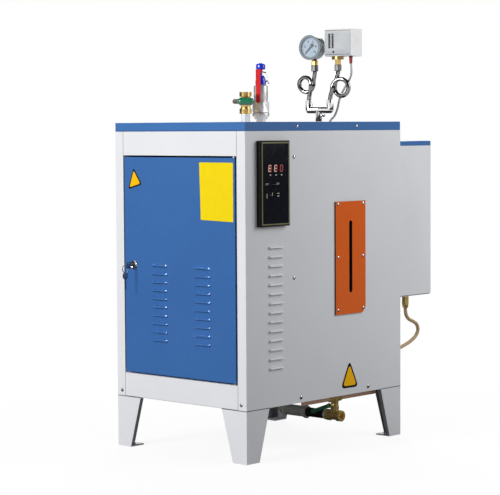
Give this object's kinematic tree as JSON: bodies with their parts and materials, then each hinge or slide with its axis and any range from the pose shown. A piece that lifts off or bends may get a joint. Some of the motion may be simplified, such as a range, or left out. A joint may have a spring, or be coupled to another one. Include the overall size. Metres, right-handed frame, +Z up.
{
  "type": "electric steam generator",
  "caption": "Free-standing sheet-metal cabinet on folded legs that boils water electrically, with a louvred door, rear water tank, steam valve, safety valve, gauge and drain piping.",
  "frame": {"origin": "on the floor, midway between the outermost left and right, front and back points", "axes": "+Z up; the door faces -Y and the control box faces +X"},
  "size_m": [0.5315, 0.8892, 1.204],
  "materials": {
    "pale_paint": "smooth light-grey powder coat",
    "blue_paint": "smooth blue powder coat",
    "orange_paint": "orange powder coat",
    "black_plastic": "glossy black moulding",
    "black_glass": "glossy black display window",
    "bright_steel": "plain machined steel",
    "chrome": "chrome plated",
    "brass": "machined brass",
    "green_sleeve": "green dipped sleeve",
    "red_lever": "red coat",
    "blue_cap": "blue cap",
    "gauge_grey": "grey coat",
    "dial": "pale dial card",
    "glass": "clear",
    "switch_grey": "grey moulding",
    "boot_red": "red boot",
    "cable_grey": "grey sheath",
    "hose_tan": "braided tan hose",
    "black_sleeve": "black hose",
    "copper": "drawn copper tube",
    "vessel_steel": "mill finish steel"
  },
  "bodies": {
    "cabinet": {"right_side_panel": "pale_paint", "left_side_panel": "pale_paint", "back_panel": "pale_paint", "base_pan": "pale_paint", "top_cover": "blue_paint", "top_rail": "pale_paint", "bottom_rail": "pale_paint", "front_left_leg": "pale_paint", "front_right_leg": "pale_paint", "rear_left_leg": "pale_paint", "rear_right_leg": "pale_paint", "hinge_pins": "bright_steel", "control_box": "black_plastic", "control_faceplate": "black_glass", "sight_glass_cover": "orange_paint", "sight_glass": "glass", "sight_glass_cocks": "brass", "water_tank": "pale_paint", "tank_floor": "pale_paint", "tank_lid": "blue_paint", "hose_fittings": "brass", "tank_hose": "hose_tan", "drum_shell": "vessel_steel", "drum_top_head": "vessel_steel", "drum_bottom_head": "vessel_steel", "steam_nipple": "bright_steel", "steam_valve_body": "brass", "safety_valve_body": "bright_steel", "safety_valve_cap": "blue_cap", "gauge_fork": "chrome", "left_siphon": "chrome", "right_siphon": "chrome", "union_nuts": "bright_steel", "brass_adapters": "brass", "gauge_case": "gauge_grey", "gauge_dial": "dial", "gauge_glass": "glass", "pressure_switch": "switch_grey", "cable_boot": "boot_red", "switch_cable": "cable_grey", "drain_pipe": "bright_steel", "drain_sleeve": "black_sleeve", "drain_tee": "brass", "drain_valve_body": "brass", "feed_pipe": "copper"},
    "door_leaf": {"door": "blue_paint", "door_lock": "bright_steel", "door_keys": "chrome"},
    "steam_handle": {"steam_valve_handle": "bright_steel", "steam_valve_grip": "green_sleeve"},
    "safety_lever": {"safety_valve_lever": "red_lever"},
    "drain_handle": {"drain_valve_handle": "green_sleeve"}
  },
  "joints": [
    {"name": "door_hinge", "type": "hinge", "parent": "cabinet", "child": "door_leaf", "pos_m": [0.206, -0.386, 0.526], "axis": [0, 0, 1], "range_deg": [0, 110]},
    {"name": "steam_handle_turn", "type": "hinge", "parent": "cabinet", "child": "steam_handle", "pos_m": [0.04606, -0.16994, 0.989], "axis": [0.5736, -0.8192, 0], "range_deg": [0, 90]},
    {"name": "safety_lever_lift", "type": "hinge", "parent": "cabinet", "child": "safety_lever", "pos_m": [0.03845, -0.09789, 1.075], "axis": [-0.8829, -0.4695, 0], "range_deg": [0, 60]},
    {"name": "drain_handle_turn", "type": "hinge", "parent": "cabinet", "child": "drain_handle", "pos_m": [0.2105, 0.006, 0.114], "axis": [0, -1, 0], "range_deg": [-20, 70]}
  ]
}
